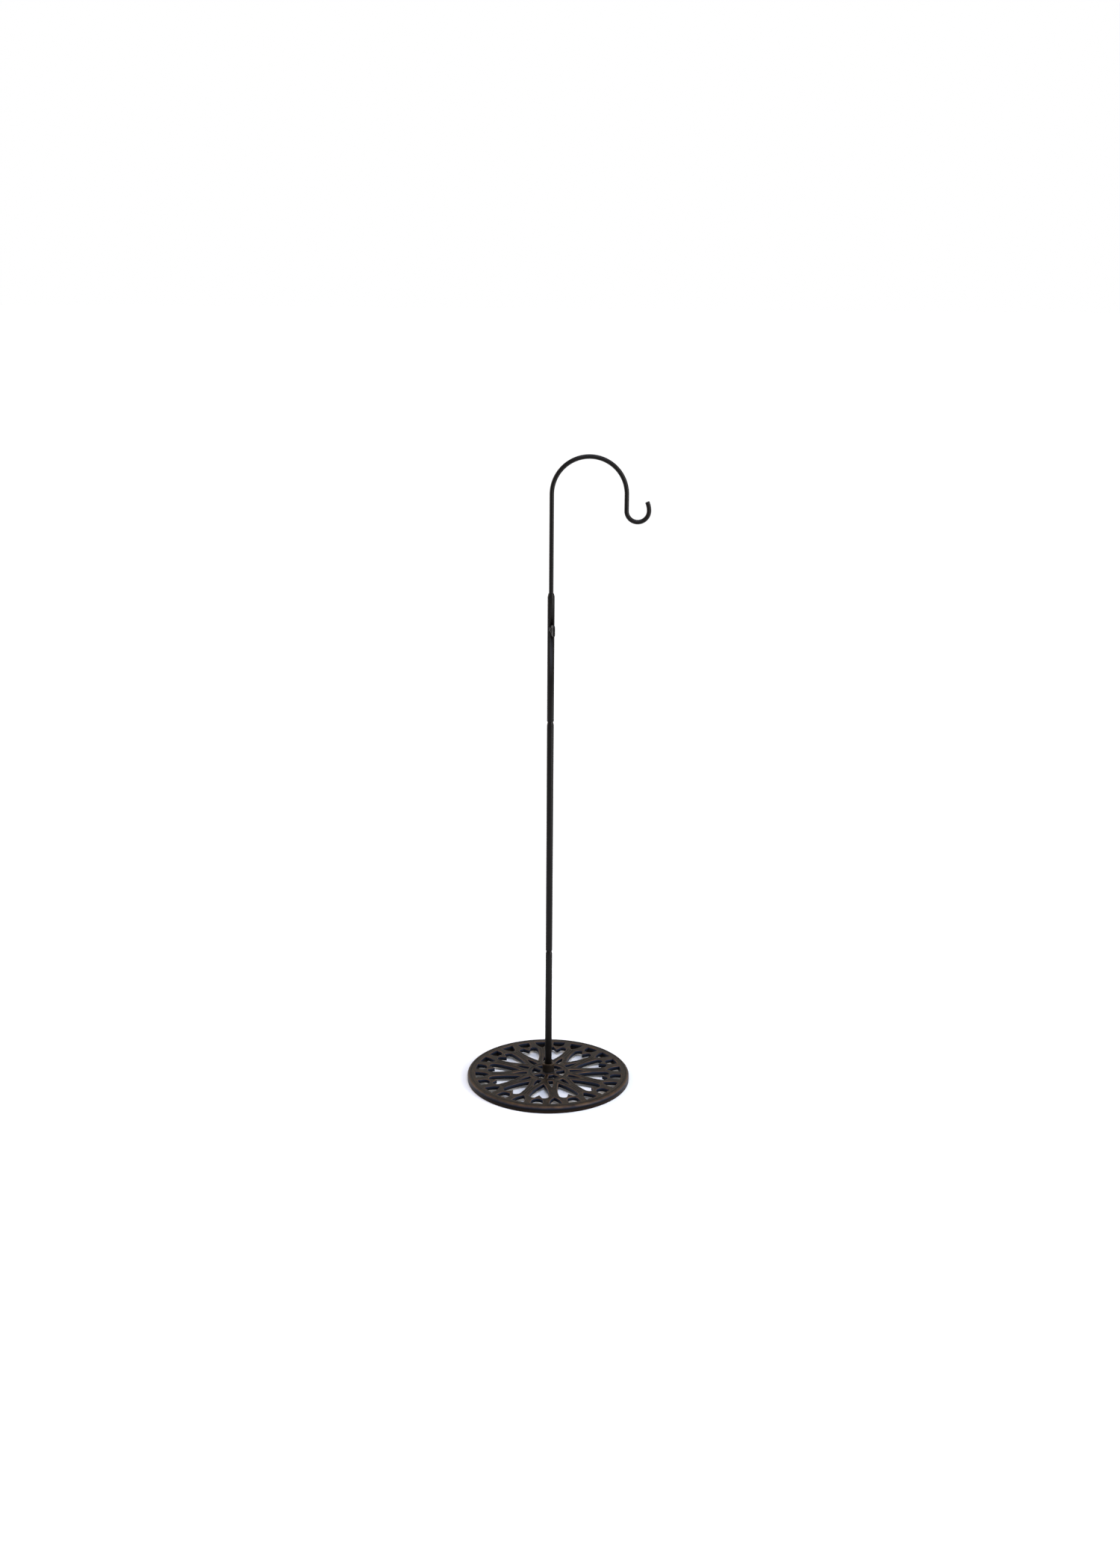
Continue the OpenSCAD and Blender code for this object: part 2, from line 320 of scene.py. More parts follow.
# %% Zinc plate and nylon
# Bright zinc on turned steel: a grey metal with a fine haze and a faint blue tinge.
finishes["zinc_plate"] = mottled(
    "zinc-plated steel", (4, 4), ("#9a9ea3", "#b9bcbf"), {"Metallic": 1.0}, rough=(0.28, 0.45)
)

# Black nylon from a mould: dark, dull, with a faint grain.
finishes["black_nylon"] = mottled(
    "moulded nylon, black", (0.8, 2), ("#1b1b1d", "#242427"), {"Roughness": 0.6, "IOR": 1.53},
    layers=[(0.8, 2, 0.02)],
)
print("finishes", list(finishes))

# %% [markdown]
# The base's finish depends on which way a face looks and on how high it lies. Faces that look up are
# rubbed to a mottled brown. The walls carry painted light by height: a painted warm reflection at the
# foot, painted shade below the middle, and a painted blue reflection near the top, which makes them
# blue-black there; the boss's wall is a dark brown. A value stored with the mesh marks rounded edges,
# which are lighter in patches, as wear and as a painted highlight, and the beds of the sunk lines,
# which are darker.

# %% Rubbed bronze coat on cast iron, with painted light
MIX_A, MIX_B, MIX_RESULT = 6, 7, 2  # a Mix node's sockets for colours; its others share the names


def rubbed_cast_iron_with_painted_light():
    """Sand-cast iron with light and shade painted into its coat: grains about 1 mm across show at
    this distance, drawn a little coarser.
    """
    material, tree, shader = new_material("cast iron, rubbed bronze coat with painted light")
    normal = add_node(tree, "NewGeometry")["Normal"]
    up = add_node(tree, "SeparateXYZ", {"Vector": normal})["Z"]
    place = add_node(tree, "TexCoord")["Object"]
    height = add_node(tree, "SeparateXYZ", {"Vector": place})["Z"]
    mottle = object_noise(tree, 9, detail=5, roughness=0.6)
    grain = object_noise(tree, 1.1, detail=4, roughness=0.6)
    blotch = object_noise(tree, 22, detail=4)
    facing_up, wall_light_height, patches = [
        add_node(tree, "MapRange", {"Value": value, "From Min": low, "From Max": high})[0]
        for value, low, high in [(up, 0.25, 0.85), (height, 4 * MM, 20 * MM), (blotch, 0.3, 0.75)]
    ]
    browns = [(0.3, "#130f0b"), (0.5, "#1e1710"), (0.7, "#302417")]
    top = add_node(tree, "ValToRGB", {"Fac": mottle}, browns)["Color"]
    # Painted light down the walls, by height: a painted warm reflection of the floor at the foot,
    # painted shade low on the wall, a painted blue reflection near the top, then the boss's own dark
    # brown.
    painted_wall_light = [
        (0.0, "#1c130c"), (0.2, "#0a0a0c"), (0.57, "#252e40"), (0.7, "#141312"), (1.0, "#1d1814")
    ]
    colour = add_node(tree, "ValToRGB", {"Fac": wall_light_height}, painted_wall_light)["Color"]
    edge = add_node(tree, "Attribute", attribute_name="edge")["Fac"]
    # The beds of the sunk lines are drawn darker.
    in_lines = add_node(tree, "Math", {0: edge, 1: -1}, operation="MULTIPLY")[0]
    # Rounded edges are lighter where the patches fall: wear, and a painted highlight.
    rub_and_highlight = add_node(tree, "Math", {0: edge, 1: patches}, operation="MULTIPLY")[0]
    # The walls' painted light lies under the tops' brown coat, the darker line beds and the lighter
    # edges.
    for share, over in [(facing_up, top), (in_lines, srgb("#13100d")), (rub_and_highlight, srgb("#5f4a37"))]:
        inputs = {"Factor": share, MIX_A: colour, MIX_B: over}
        colour = add_node(tree, "Mix", inputs, data_type="RGBA")[MIX_RESULT]
    worn = {"Value": mottle, "To Min": 0.32, "To Max": 0.5}
    inputs = {
        "Base Color": colour,
        "Roughness": add_node(tree, "MapRange", worn)["Result"],
        "Normal": bumps(tree, [(mottle, 0.35), (grain, 0.12)]),
        "Metallic": 0.1,
        "Specular IOR Level": 0.06,
    }
    set_inputs(tree, shader, inputs)
    return material


finishes["base_iron"] = rubbed_cast_iron_with_painted_light()
print("finishes", list(finishes))

# %% [markdown]
# ## From arrays to objects
#
# Nearly every surface here is a grid: rows of points, each row carried a little further along. One
# function joins the rows with faces. Another makes a piece, which rides on a body of the packed
# model and takes the place of the solids that it stands for.

# %% Faces and pieces
merge_distance = 0.002


def grid_faces(rows, columns, wrap_rows=False, wrap_columns=False):
    """Quads that join a grid's points, numbered row by row, with either way closed into a ring."""
    i = np.arange(rows if wrap_rows else rows - 1)[:, None]
    j = np.arange(columns if wrap_columns else columns - 1)[None, :]
    below, right = (i + 1) % rows, (j + 1) % columns
    corners = [i * columns + j, i * columns + right, below * columns + right, below * columns + j]
    return np.stack([c + 0 * (i + j) for c in corners], axis=-1).reshape(-1, 4)


def bar_faces(rings, around):
    """Faces that join rings of points into a bar, with a flat cap at each end."""
    last = (rings - 1) * around
    caps = [list(range(around)), list(range(last, last + around))]
    return grid_faces(rings, around, wrap_columns=True).tolist() + caps


def make_piece(name, shape, slot, stands_for=(), body="stand", smooth_deg=40, marks=None):
    """An object from (points in millimetres, faces), riding on a body. Points that fall together are
    merged, and the faces are turned to point outwards. marks are stored as "edge": above 0 an edge
    drawn lighter, as wear and as a painted highlight, below 0 a darker line bed."""
    points, faces = shape
    mesh = bpy.data.meshes.new(name)
    mesh.from_pydata((points * MM).tolist(), [], [list(map(int, face)) for face in faces])
    if marks is not None:
        mesh.attributes.new("edge", "FLOAT", "POINT").data.foreach_set("value", marks)
    solid = bmesh.new()
    solid.from_mesh(mesh)
    bmesh.ops.remove_doubles(solid, verts=solid.verts, dist=merge_distance * MM)
    bmesh.ops.recalc_face_normals(solid, faces=solid.faces)
    open_edges = sum(not edge.is_manifold for edge in solid.edges)
    solid.to_mesh(mesh)
    solid.free()
    mesh.shade_smooth()
    mesh.set_sharp_from_angle(angle=radians(smooth_deg))
    mesh.materials.append(finishes[slot])
    piece = new_object(name, mesh)
    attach(piece, body)
    if stands_for:
        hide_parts(*stands_for)
    print(f"{name}: {len(mesh.vertices)} points, {len(mesh.polygons)} faces, {open_edges} open edges")
    return piece


print("3 by 4 points make", len(grid_faces(3, 4)), "faces")

# %% [markdown]
# A turned part is made as on a lathe: a closed profile is carried round the pole. Its corners are
# rounded by small arcs first, because a sharp edge would catch no light.

# %% Profiles
turn_steps = 96
corner_steps = 5


def polar(radius, angle):
    """Points at a radius and an angle: (radius * cos a, radius * sin a)."""
    return np.stack([radius * np.cos(angle), radius * np.sin(angle)], axis=-1)


def lifted(xy, height):
    """Flat points given a height, or a height each."""
    return np.concatenate([xy, np.broadcast_to(height, xy.shape[:-1])[..., None]], axis=-1)


def all_round(steps):
    """Angles spread evenly over a full turn."""
    return np.linspace(0, 2 * pi, steps, endpoint=False)


def carried(profile, angles):
    """A (radius, height) profile carried to each of some angles about the pole."""
    radius, height = np.asarray(profile, float).T
    return lifted(polar(radius, angles[:, None]), height).reshape(-1, 3)


def turned(profile):
    """Carry a closed profile right round. It runs anticlockwise as seen with radius to the right
    and height up, so that faces point outwards."""
    faces = grid_faces(turn_steps, len(profile), wrap_rows=True, wrap_columns=True)
    return carried(profile, all_round(turn_steps)), faces[:, ::-1]


def rounded(corners):
    """A closed outline through (x, y, radius) corners, each rounded by an arc that touches both of
    its sides. A radius of 0 keeps the corner sharp."""
    corners = np.asarray(corners, float)
    outline = []
    for i, (x, y, r) in enumerate(corners):
        here = np.array([x, y])
        back = corners[i - 1, :2] - here
        ahead = corners[(i + 1) % len(corners), :2] - here
        back, ahead = back / norm(back), ahead / norm(ahead)
        if r == 0:
            outline.append(here)
            continue
        half = acos(np.clip(back @ ahead, -1, 1)) / 2
        along = r / tan(half)
        centre = here + (back + ahead) / norm(back + ahead) * r / sin(half)
        start, end = here + back * along - centre, here + ahead * along - centre
        a0, a1 = atan2(start[1], start[0]), atan2(end[1], end[0])
        turn = (a1 - a0 + pi) % (2 * pi) - pi
        outline.extend(centre + polar(r, a0 + turn * np.linspace(0, 1, corner_steps + 1)))
    return np.array(outline)


print("a turned part has", turn_steps, "columns")

# %% [markdown]
# ## Tubes and collars
#
# Tubes are turned profiles. A saw and a deburring wheel leave each end with a small round, which
# catches a fine ring of light.

# %% Tubes


def sleeve_profile(node, bore, outside):
    """The profile of a ring as tall as a node. bore and outside are (radius, rounding)."""
    low, high = extent(node, "z")
    corners = [(bore, low), (outside, low), (outside, high), (bore, high)]
    return rounded([(radius, z, rounding) for (radius, rounding), z in corners])


def make_tube(node):
    """A steel tube with rounded ends."""
    profile = sleeve_profile(node, (tube_bore_r, 0.2), (tube_r, 0.6))
    return make_piece(node + "_steel", turned(profile), "pole_black", [node])


make_tube("lower_tube")
make_tube("middle_tube")

# %% [markdown]
# The collars are machined: a plug inside the tube below, and a head with a straight land and a
# taper. The groove between a taper and the next tube shows as a neck at each joint.

# %% Collars at the joints
plug_len = 18
joint = (4.05, tube_r - 1.4, 1.5)  # radius of the hole, radius of the neck, length of the land
top = (rod_r + 0.08, rod_r + 1, 4)
collars = {"lower_joint_insert": joint, "upper_joint_insert": joint, "top_collar": top}
for node, (hole_r, neck_r, land) in collars.items():
    low, high = extent(node, "z")
    seat = low + plug_len
    plug = [(hole_r, low, 0.3), (tube_bore_r, low, 0.5), (tube_bore_r, seat, 0)]
    head = [(tube_r, seat, 0.25), (tube_r, seat + land, 0.5), (neck_r, high, 0.4)]
    profile = rounded([*plug, *head, (hole_r, high, 0.3)])
    make_piece(node + "_steel", turned(profile), "pole_black", [node])

# %% [markdown]
# ## The cast base
#
# The rosette is a flat web pierced by hearts, arches and slots. A Boolean cut would leave every
# edge knife sharp, which sand-cast iron never is. So each opening is rows of one outline, each grown
# a little further outwards: rows round a quarter circle make the soft edge, and others the wall. The
# flat web between the openings is filled with triangles. Only half of one petal is made, up to the
# middle of the rib beside it. It is mirrored, and turned to all twelve petals.

# %% Sizes of the rosette
petals = 12
rosette_turn = radians(21)
half_pitch = pi / petals
web_low, web_top = 5.5, 13.5
wall_middle = (web_low + web_top) / 2
edge_round = 1.5
lip = edge_round + 0.3
foot_round = 0.6

rim_in = base_r - 14.5
point_at = 0.36 * base_r
lobe_at = 0.695 * base_r
lobe_off = 0.062 * base_r
lobe_r = 0.058 * base_r
side_r = 0.9 * base_r
notch_at = 0.675 * base_r
notch_angle = radians(32)
arch_at = 0.84 * base_r
arch_half_w = 0.071 * base_r
arch_flare = atan2(0.010 * base_r, base_r - arch_at)
rib_arch_end = rim_in + 2
rib_arch_tip = 0.73 * base_r
rib_arch_half_w = 0.079 * base_r
slot_start = 0.265 * base_r
slot_mid = 0.305 * base_r
slot_half_w = 0.030 * base_r
slot_side_r = 0.33 * base_r


def side_arc_centre():
    """Centre of a petal's side arc: side_r from the petal's point, and side_r - lobe_r from the
    lobe's centre, so that the side runs into the lobe smoothly. It is where two circles cross."""
    point, lobe = np.array([point_at, 0.0]), np.array([lobe_at, lobe_off])
    apart = norm(lobe - point)
    along = (apart**2 + side_r**2 - (side_r - lobe_r) ** 2) / (2 * apart)
    unit = (lobe - point) / apart
    return point + along * unit + sqrt(side_r**2 - along**2) * np.array([unit[1], -unit[0]])


side_centre = side_arc_centre()
lobe_centre = np.array([lobe_at, lobe_off])
lobe_from = atan2(*(lobe_centre - side_centre)[::-1])
print("side arc centre", side_centre.round(2), "mm")

# %% [markdown]
# Flat outlines are arcs and straight lines, each a whole array of points, joined end to end.

# %% Arcs and straight lines


def arc(centre, radius, start, stop, steps):
    """Points centre + radius * (cos a, sin a), with a going evenly from start to stop."""
    return np.asarray(centre) + polar(radius, np.linspace(start, stop, steps + 1))


def straight(start, stop, steps):
    """Points spread evenly from start to stop."""
    t = np.linspace(0, 1, steps + 1)[:, None]
    return np.asarray(start) * (1 - t) + np.asarray(stop) * t


def join(*pieces):
    """One line from several, each of which starts where the last one ends."""
    return np.concatenate([pieces[0], *(piece[1:] for piece in pieces[1:])])


def turned_by(angle, x, y):
    """Points turned about the origin: (x cos a - y sin a, x sin a + y cos a)."""
    c, s = np.cos(angle), np.sin(angle)
    return np.stack([c * x - s * y, s * x + c * y], axis=-1)


def angle_of(point, centre=(0.0, 0.0)):
    """Direction of a point seen from a centre."""
    return atan2(point[1] - centre[1], point[0] - centre[0])


print("a quarter circle:", arc((0, 0), 1, 0, pi / 2, 2).round(2).tolist())

# %% [markdown]
# A heart's half is a long arc, a lobe and the side of a notch. In the notch stands an arch that
# opens to the rim. Each outline takes how far it is grown, so one function gives all its rows.

# %% Outlines of the heart and its arch
rim_steps = 6


def heart_side(grow):
    """The long side of a heart, grown outwards, from its point on the petal's middle line."""
    radius = side_r + grow
    start = pi - asin(-side_centre[1] / radius)
    return arc(side_centre, radius, start, lobe_from, 24)


def heart_line(grow, rim_grow=0):
    """Half a heart: the long side, the lobe, and the straight side of the notch."""
    radius = lobe_r + grow
    tip = np.array([notch_at + grow / sin(notch_angle), 0.0])
    along = np.array([cos(notch_angle), sin(notch_angle)])
    back = (tip - lobe_centre) @ along
    reach = -back + sqrt(back**2 - (tip - lobe_centre) @ (tip - lobe_centre) + radius**2)
    corner = tip + reach * along
    lobe = arc(lobe_centre, radius, lobe_from, angle_of(corner, lobe_centre), 12)
    return join(heart_side(grow), lobe, straight(corner, tip, 5))


def arch_line(grow, rim_grow):
    """Half the arch in a petal's notch: a round head, a side that flares, and the rim."""
    head = arc((arch_at, 0), arch_half_w + grow, pi, pi / 2 + arch_flare, 10)
    along = np.array([cos(arch_flare), sin(arch_flare)])
    start, rim_r = head[-1], rim_in + rim_grow
    reach = -start @ along + sqrt((start @ along) ** 2 - start @ start + rim_r**2)
    corner = start + reach * along
    along_rim = arc((0, 0), rim_r, angle_of(corner), 0, rim_steps)
    return join(head, straight(start, corner, 3), along_rim)


print("half a heart has", len(heart_line(0)), "points, half an arch", len(arch_line(0, 0)))

# %% [markdown]
# Between two petals there is a rib, with a pointed arch at its outer end and a leaf-shaped slot at
# its inner end. Both are drawn along +X, and then laid under the rib's middle line.

# %% Outlines of the rib's arch and slot


def where_circles_meet(centre, radius, round_r):
    """The upper point at which a circle meets the circle of radius round_r about the pole."""
    centre = np.asarray(centre, float)
    apart = norm(centre)
    along = (round_r**2 - radius**2 + apart**2) / (2 * apart)
    unit = centre / apart
    return along * unit + sqrt(round_r**2 - along**2) * np.array([-unit[1], unit[0]])


def to_rib(line):
    """A half opening drawn along +X, laid under the middle line of the rib."""
    return turned_by(half_pitch, line[:, 0], -line[:, 1])


def rib_arch_line(grow, rim_grow):
    """Half the pointed arch between two petals: one arc from the tip, widest at the rim."""
    depth = rib_arch_end - rib_arch_tip
    both = depth**2 / rib_arch_half_w
    centre = (rib_arch_end, (rib_arch_half_w - both) / 2)
    radius = (both + rib_arch_half_w) / 2 + grow
    rim_r = rim_in + rim_grow
    corner = where_circles_meet(centre, radius, rim_r)
    start = pi - asin(-centre[1] / radius)
    side = arc(centre, radius, start, angle_of(corner, centre), 12)
    return to_rib(join(side, arc((0, 0), rim_r, angle_of(corner), 0, rim_steps)))


def slot_line(grow, rim_grow=0):
    """Half the slot between two stems, which the ring closes at its inner end."""
    centre = (slot_mid, slot_half_w - slot_side_r)
    radius = slot_side_r + grow
    end_r = slot_start - grow
    corner = where_circles_meet(centre, radius, end_r)
    side = arc(centre, radius, asin(-centre[1] / radius), angle_of(corner, centre), 14)
    return to_rib(join(side, arc((0, 0), end_r, angle_of(corner), 0, 4)))


print("half a rib arch has", len(rib_arch_line(0, 0)), "points, half a slot", len(slot_line(0)))

# %% [markdown]
# A wall is one opening's outline at each row. Its mark is 0 where the coat is whole and 1 where the
# edge is drawn lightest, which is the middle of the rounded edge: wear, and a painted highlight.

# %% Walls of the openings
# How much lighter each row of the rounded edge is drawn: wear, and a painted highlight.
edge_rub_and_highlight = [0, 0.7, 1, 1, 0.7, 0]


def padded(row_marks, before, total):
    """Marks for every row of a profile: none on the rows before, then the values, then none."""
    return np.pad(np.asarray(row_marks, float), (before, total - before - len(row_marks)))


# Each row is (how far the outline is grown, height): a flat strip, a quarter circle, a straight
# wall, and a small quarter circle at the foot.
soft_edge = arc((edge_round, web_top - edge_round), edge_round, pi / 2, pi, 5)
wall_foot = arc((foot_round, web_low + foot_round), foot_round, pi, pi * 1.5, 3)
wall_rows = np.concatenate([[(lip, web_top)], soft_edge, [(0, wall_middle)], wall_foot])
wall_marks = padded(edge_rub_and_highlight, 1, len(wall_rows))


def wall(outline):
    """Rows of an opening's outline laid under each other, with their wear. The arches end at the
    rim, whose wall is straight, so there only the rows above it grow. Others ignore rim_grow."""
    lines = [outline(grow, grow if height > wall_middle else 0) for grow, height in wall_rows]
    points = [lifted(line, height) for line, height in zip(lines, wall_rows[:, 1])]
    columns = len(lines[0])
    faces = grid_faces(len(wall_rows), columns)
    return np.concatenate(points), faces, np.repeat(wall_marks, columns)


openings = {"heart": heart_line, "arch": arch_line, "rib arch": rib_arch_line, "slot": slot_line}
walls = [wall(outline) for outline in openings.values()]
print({name: len(part[1]) for name, part in zip(openings, walls)}, "wall faces")

# %% [markdown]
# The web's top carries fine sunk lines: one follows each petal and one runs down each rib. They
# are a depth that depends on the place, fading out where a line ends.

# %% Depth of the sunk lines
groove_depth, groove_half_w = 0.8, 0.95
line_rows = np.array([-1.3, -1, -0.7, -0.35, 0, 0.35, 0.7, 1, 1.3]) * groove_half_w
border_w = 4.4
border_stop_r = 109.5
border_end = (105, 108.5)
rib_start, rib_end = (72, 76), (104.5, 108)
rib_stations = np.linspace(rib_start[0], rib_end[1], 25)


def fade(value, start, stop):
    """A smooth step from 0 at start to 1 at stop, as 3t^2 - 2t^3."""
    t = np.clip((value - start) / (stop - start), 0, 1)
    return t * t * (3 - 2 * t)


def sunk(off_line):
    """Depth of a sunk line at a distance from its middle: half a cosine wave."""
    return groove_depth / 2 * (1 + np.cos(np.pi * np.clip(off_line / groove_half_w, -1, 1)))


def line_bed_dark(depth):
    """How dark the coat is drawn round a sunk line: -1 is the dark bed, and 0 the flat beside it."""
    return -np.clip(1.3 * depth / groove_depth, 0, 1)


def web_height(xy):
    """Height of the web's top: flat, less the border line and the rib line where they run."""
    from_side = xy - side_centre
    on_side = np.arctan2(from_side[:, 1], from_side[:, 0]) >= lobe_from
    outside = np.where(
        on_side,
        norm(from_side, axis=1) - side_r,
        norm(xy - lobe_centre, axis=1) - lobe_r,
    )
    out = norm(xy, axis=1)
    border = sunk(outside - border_w) * (1 - fade(out, *border_end))
    from_rib = xy @ np.array([-sin(half_pitch), cos(half_pitch)])
    rib = sunk(from_rib) * fade(out, *rib_start) * (1 - fade(out, *rib_end))
    return web_top - np.maximum(border, rib)


print("a line is", sunk(np.array([0.0]))[0], "mm deep in its middle")

# %% [markdown]
# A mesh shows that depth only where it has points. So rows of points are laid along each line.

# %% Points along the sunk lines


def border_row(off):
    """A line off the middle of a border line, from the petal's middle line round the lobe, to the
    circle of radius border_stop_r. The law of cosines gives the angle there."""
    radius = lobe_r + border_w + off
    lobe_out = norm(lobe_centre)
    cosine = (border_stop_r**2 - lobe_centre @ lobe_centre - radius**2) / (2 * lobe_out * radius)
    stop = angle_of(lobe_centre) + acos(cosine)
    return join(heart_side(border_w + off), arc(lobe_centre, radius, lobe_from, stop, 3))


borders = [border_row(off) for off in line_rows]
rib_offs = line_rows[len(line_rows) // 2 :]
ribs = [to_rib(np.column_stack([rib_stations, 0 * rib_stations + off])) for off in rib_offs]
print(len(borders), "rows along a border line,", len(ribs), "along half a rib line")

# %% [markdown]
# The web is flat and its outline is any shape, so it is filled with triangles. A triangulator takes
# one closed outline, and keeps edges along the lines that it is given.

# %% Fill an outline
triangles_inside = 1
same_point = 1e-3


def fill(outline, lines=()):
    """Triangles inside one closed outline, with edges along the extra lines."""
    edges = [np.column_stack([np.arange(len(outline)), np.roll(np.arange(len(outline)), -1)])]
    total = len(outline)
    for line in lines:
        steps = np.arange(total, total + len(line) - 1)
        edges.append(np.column_stack([steps, steps + 1]))
        total += len(line)
    points = [Vector(p) for p in np.concatenate([outline, *lines]).tolist()]
    edges = np.concatenate(edges).tolist()
    result = delaunay_2d_cdt(points, edges, [], triangles_inside, same_point)
    return np.array([tuple(v) for v in result[0]]), np.array(result[2])


def flat_part(outline, height):
    """A part that is flat at one height and has no marks: its points, triangles and marks."""
    xy, faces = fill(outline)
    return lifted(xy, height), faces, np.zeros(len(xy))


print("a square takes", len(fill(polar(1, all_round(4)))[1]), "triangles")

# %% [markdown]
# Half a petal's share of the web has one closed outline, which touches every opening. The underside
# has the same openings, narrowed by their rounded feet, and no lines.

# %% Fill the web
ring_steps = 7
ring_out, ring_in = 37.0, 33.5
rim_flat = rim_in + 4
arch_side = arch_line(foot_round, 0)[:-rim_steps]
rib_arch_side = rib_arch_line(foot_round, 0)[:-rim_steps]
rim_between = np.linspace(angle_of(arch_side[-1]), angle_of(rib_arch_side[-1]), 6)
to_arch = np.linspace(0, rim_between[0], rim_steps + 1)
rim_angles = join(to_arch, rim_between, np.linspace(rim_between[-1], half_pitch, rim_steps + 1))
ring_arc = polar(ring_out, np.linspace(half_pitch, 0, ring_steps + 1))
border_starts = np.array([line[0] for line in borders[::-1]])
top_outline = np.concatenate([
    ring_arc, border_starts, heart_line(lip), arch_line(lip, lip), polar(rim_flat, rim_angles),
    rib_arch_line(lip, lip)[::-1], ribs[0][::-1], slot_line(lip),
])
top_xy, top_faces = fill(top_outline, borders + ribs[1:])
top_z = web_height(top_xy)
web_top_part = (lifted(top_xy, top_z), top_faces, line_bed_dark(web_top - top_z))

rim_foot_line = polar(rim_in, rim_between[1:-1])
under_outline = np.concatenate([
    ring_arc, heart_line(foot_round), arch_side, rim_foot_line,
    rib_arch_side[::-1], slot_line(foot_round),
])
web_under_part = flat_part(under_outline, web_low)
print("web top", len(top_faces), "triangles, underside", len(web_under_part[1]))

# %% [markdown]
# The rim and the ring are round, so each is a profile carried round the pole. Their columns stand at
# the same angles as the points on the edge of the web, so that the two meet exactly. Both carry a
# sunk line, and the rim's shoulder is lighter in patches, as wear and as a painted highlight.

# %% Rim and ring
rim_round, rim_foot_round = 4.5, 1.5
rim_wall_z = 4.0
rim_line_r = base_r - 6.5
shoulder_rub_and_highlight = 0.7
row_line_dark = line_bed_dark(sunk(line_rows))


def round_part(profile, angles, marks):
    """A part of the base with an open profile: its points, faces and marks."""
    faces = grid_faces(len(angles), len(profile))
    return carried(profile, angles), faces, np.tile(marks, len(angles))


def sunk_ring(middle):
    """Profile points across a sunk line that runs round the pole."""
    return [(middle + off, web_top - sunk(off)) for off in line_rows]


shoulder = arc((base_r - rim_round, web_top - rim_round), rim_round, pi / 2, 0, 8)
rim_foot = arc((base_r - rim_foot_round, rim_foot_round), rim_foot_round, 0, -pi / 2, 4)
rim_profile = np.concatenate([
    [(rim_flat, web_top)], sunk_ring(rim_line_r), shoulder, [(base_r, rim_wall_z)], rim_foot,
    [(rim_in + foot_round, 0), (rim_in + foot_round / 3, foot_round / 3)],
    [(rim_in, foot_round), (rim_in, web_low)],
])
# The rim's shoulder is drawn lighter in patches: wear, and a painted highlight.
shoulder_rows_rub_and_highlight = shoulder_rub_and_highlight * np.sin(np.linspace(0, pi, len(shoulder)))
rim_marks = padded([*row_line_dark, *shoulder_rows_rub_and_highlight], 1, len(rim_profile))
rim_part = round_part(rim_profile, rim_angles, rim_marks)

ring_angles = np.linspace(0, half_pitch, ring_steps + 1)
ring_profile = [(ring_in, web_top), *sunk_ring((ring_in + ring_out) / 2), (ring_out, web_top)]
ring_part = round_part(ring_profile, ring_angles, padded(row_line_dark, 1, len(ring_profile)))
ring_under_part = round_part([(ring_out, web_low), (ring_in, web_low)], ring_angles, [0, 0])
print("rim profile", len(rim_profile), "points, ring profile", len(ring_profile))

# %% [markdown]
# Inside the ring, six spokes run to the boss, which holds the pole. Half a spoke's share of the hub
# is filled as the web was. The boss is one profile: up its outside, over its crown, down into the
# socket for the tube, through the hole for the bolt, and out along the recess below.

# %% Hub and boss
hub_out, hub_in, spoke_half_w = 0.204 * base_r, 15.0, 3.5
boss_r, boss_fillet, boss_wall_drop = 10.9, 2.0, 5
crown_round, socket_round = 1.2, 0.5
# The boss's crown is drawn lighter in patches: wear, and a painted highlight.
crown_rub_and_highlight = [0.4, 0.9, 1, 1, 0.9, 0.6]
half_spoke_pitch = 2 * half_pitch
boss_steps = 7
socket_r, socket_z = tube_r + 0.05, extent("lower_tube", "z")[0]
recess_r, recess_h, bolt_hole_r = 10.0, extent("flat_washer", "z")[1], 4.3


def hub_line(grow, rim_grow=0):
    """Half an opening of the hub: under the ring, down the spoke's side, and round the boss."""
    out_r, in_r, side = hub_out + grow, hub_in - grow, spoke_half_w - grow
    out_turn, in_turn = asin(side / out_r), asin(side / in_r)
    outer = arc((0, 0), out_r, half_spoke_pitch, out_turn, 12)
    inner = arc((0, 0), in_r, in_turn, half_spoke_pitch, 6)
    return join(outer, straight(outer[-1], inner[0], 6), inner)


def hub_outline(grow):
    """The closed outline of half a spoke's share of the hub."""
    return np.concatenate([
        polar(ring_in, np.linspace(0, half_spoke_pitch, 2 * ring_steps + 1)),
        hub_line(grow),
        polar(boss_r + boss_fillet, np.linspace(half_spoke_pitch, 0, boss_steps + 1)),
    ])


hub_part = flat_part(hub_outline(lip), web_top)
hub_low_part = flat_part(hub_outline(foot_round), web_low)

flare = arc((boss_r + boss_fillet, web_top + boss_fillet), boss_fillet, -pi / 2, -pi, 5)
crown = arc((boss_r - crown_round, boss_top - crown_round), crown_round, 0, pi / 2, 5)
boss_profile = np.concatenate([
    flare, [(boss_r, boss_top - boss_wall_drop)], crown,
    [(socket_r + socket_round, boss_top), (socket_r, boss_top - socket_round)],
    [(socket_r, socket_z), (bolt_hole_r, socket_z), (bolt_hole_r, recess_h)],
    [(recess_r, recess_h), (recess_r, web_low + foot_round), (recess_r + foot_round, web_low)],
    [(boss_r + boss_fillet, web_low)],
])
boss_marks = padded(crown_rub_and_highlight, len(flare) + 1, len(boss_profile))
boss_angles = np.linspace(0, half_spoke_pitch, boss_steps + 1)
boss_part = round_part(boss_profile, boss_angles, boss_marks)
print("hub", len(hub_part[1]), "triangles, boss profile", len(boss_profile), "points")

